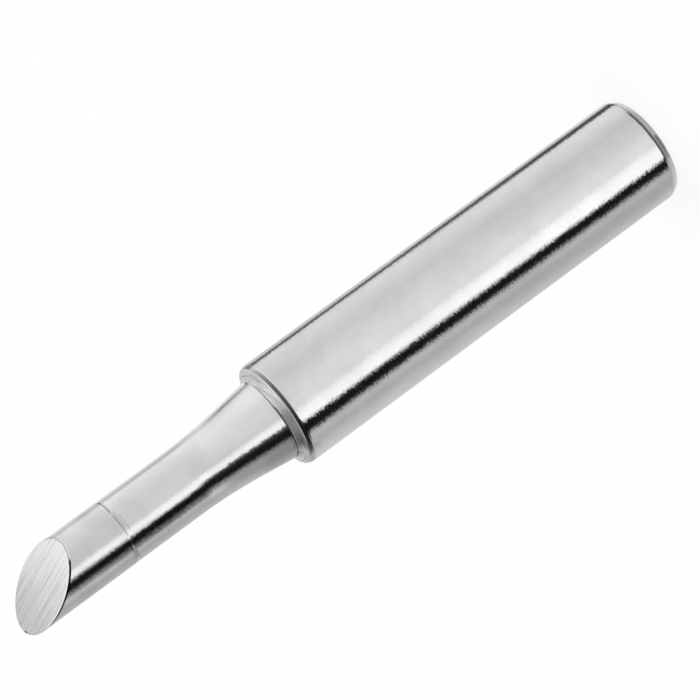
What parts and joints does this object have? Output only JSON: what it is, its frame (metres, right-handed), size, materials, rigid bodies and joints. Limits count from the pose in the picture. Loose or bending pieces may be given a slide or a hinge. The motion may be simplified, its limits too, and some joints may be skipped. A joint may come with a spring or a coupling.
{
  "type": "soldering iron tip",
  "caption": "Turned, plated soldering iron tip with a hollow rear sleeve, a shouldered tapering neck and a slim shaft ground to an oval bevelled face.",
  "frame": {"origin": "centre of the open rear rim, on which the tip stands", "axes": "+Z runs along the tip's axis to the working point; the slanted ground face looks to -Y, the front; +X is to the right seen from the front"},
  "size_m": [0.0065, 0.0064, 0.045],
  "materials": {
    "bright_plating": "bright plating over turned copper, with fine turning marks; the working end is tinned and its slanted face ground"
  },
  "bodies": {
    "root": {"soldering_tip": "bright_plating"}
  },
  "joints": []
}
